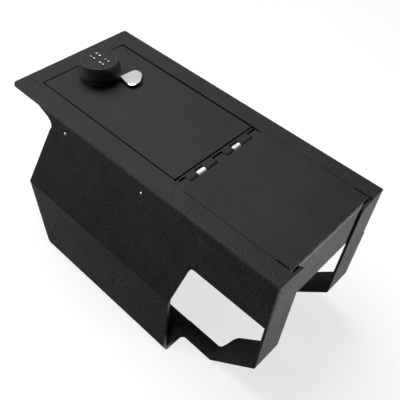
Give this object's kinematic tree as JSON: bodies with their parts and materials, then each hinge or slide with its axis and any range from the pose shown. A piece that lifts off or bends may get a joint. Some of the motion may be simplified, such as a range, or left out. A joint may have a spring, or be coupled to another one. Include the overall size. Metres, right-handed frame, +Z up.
{
  "type": "vehicle console safe",
  "caption": "Folded steel console safe with a slanted front, rear legs, a hinged lid in its top deck and a keypad knob with a thumb lever that throws two side bolts.",
  "frame": {"origin": "centre of the whole object's box, on its base plane", "axes": "+Z up, +Y towards the lock end, -Y towards the rear legs, +X to the right when looking along +Y"},
  "size_m": [0.2072, 0.354, 0.2119],
  "materials": {
    "powder_coat": "fine textured black powder coat",
    "zinc_plate": "bright zinc plate",
    "bright_steel": "plain bright steel",
    "black_oxide": "black oxide screws",
    "rubber": "soft black rubber",
    "chrome": "polished chrome on zinc casting",
    "knob_plastic": "satin black moulded plastic",
    "keypad_plastic": "matt dark keypad face",
    "key_plastic": "light keys with dark digits",
    "circuit_board": "green laminate",
    "coil_plastic": "varnished coil body"
  },
  "bodies": {
    "shell": {"side_panel_left": "powder_coat", "side_panel_right": "powder_coat", "deck_plate": "powder_coat", "compartment_floor": "powder_coat", "compartment_rear_wall": "powder_coat", "compartment_front_wall": "powder_coat", "lock_pocket": "powder_coat", "side_rail_left": "powder_coat", "side_rail_right": "powder_coat", "side_rivets": "bright_steel", "base_screws": "black_oxide", "deck_hinge_leaf_left": "zinc_plate", "deck_hinge_leaf_right": "zinc_plate", "hinge_pin_left": "bright_steel", "hinge_pin_right": "bright_steel", "door_bumpers": "rubber"},
    "door": {"door_panel": "powder_coat", "door_hinge_leaf": "powder_coat", "door_stiffener": "powder_coat", "door_leaf_rivets": "bright_steel", "lock_base_plate": "zinc_plate", "bolt_guide_left": "zinc_plate", "bolt_guide_right": "zinc_plate", "lock_cover": "powder_coat", "cover_screw": "black_oxide", "blocking_solenoid": "coil_plastic", "blocking_plunger": "bright_steel", "knob_base": "knob_plastic", "knob_post": "bright_steel", "knob_housing": "knob_plastic", "keypad_face": "keypad_plastic", "keypad_mat": "rubber", "keypad_board": "circuit_board", "coin_battery": "bright_steel"},
    "lever": {"thumb_lever": "chrome", "lever_shaft": "bright_steel", "bolt_cam": "zinc_plate"},
    "bolt_left": {"bolt_left": "bright_steel"},
    "bolt_right": {"bolt_right": "bright_steel"},
    "key_1": {"button_1": "key_plastic"},
    "key_2": {"button_2": "key_plastic"},
    "key_3": {"button_3": "key_plastic"},
    "key_4": {"button_4": "key_plastic"},
    "key_5": {"button_5": "key_plastic"},
    "key_6": {"button_6": "key_plastic"},
    "key_7": {"button_7": "key_plastic"},
    "key_8": {"button_8": "key_plastic"}
  },
  "joints": [
    {"name": "door_hinge", "type": "hinge", "parent": "shell", "child": "door", "pos_m": [0, -0.0478, 0.1844], "axis": [1, 0, 0], "range_deg": [0, 97]},
    {"name": "lever_turn", "type": "hinge", "parent": "door", "child": "lever", "pos_m": [-0.0049, 0.1195, 0.188], "axis": [0, 0, 1], "range_deg": [-90, 0]},
    {"name": "bolt_left_slide", "type": "slide", "parent": "door", "child": "bolt_left", "axis": [-1, 0, 0], "range_m": [0, 0.011]},
    {"name": "bolt_right_slide", "type": "slide", "parent": "door", "child": "bolt_right", "axis": [1, 0, 0], "range_m": [0, 0.011]},
    {"name": "key_1_press", "type": "slide", "parent": "door", "child": "key_1", "axis": [0, 0, -1], "range_m": [0, 0.0008], "stiffness_N_per_m": 300},
    {"name": "key_2_press", "type": "slide", "parent": "door", "child": "key_2", "axis": [0, 0, -1], "range_m": [0, 0.0008], "stiffness_N_per_m": 300},
    {"name": "key_3_press", "type": "slide", "parent": "door", "child": "key_3", "axis": [0, 0, -1], "range_m": [0, 0.0008], "stiffness_N_per_m": 300},
    {"name": "key_4_press", "type": "slide", "parent": "door", "child": "key_4", "axis": [0, 0, -1], "range_m": [0, 0.0008], "stiffness_N_per_m": 300},
    {"name": "key_5_press", "type": "slide", "parent": "door", "child": "key_5", "axis": [0, 0, -1], "range_m": [0, 0.0008], "stiffness_N_per_m": 300},
    {"name": "key_6_press", "type": "slide", "parent": "door", "child": "key_6", "axis": [0, 0, -1], "range_m": [0, 0.0008], "stiffness_N_per_m": 300},
    {"name": "key_7_press", "type": "slide", "parent": "door", "child": "key_7", "axis": [0, 0, -1], "range_m": [0, 0.0008], "stiffness_N_per_m": 300},
    {"name": "key_8_press", "type": "slide", "parent": "door", "child": "key_8", "axis": [0, 0, -1], "range_m": [0, 0.0008], "stiffness_N_per_m": 300}
  ],
  "couplings": [
    {"joint": "bolt_left_slide", "follows": "lever_turn", "m_per_rad": -0.007},
    {"joint": "bolt_right_slide", "follows": "lever_turn", "m_per_rad": -0.007}
  ]
}
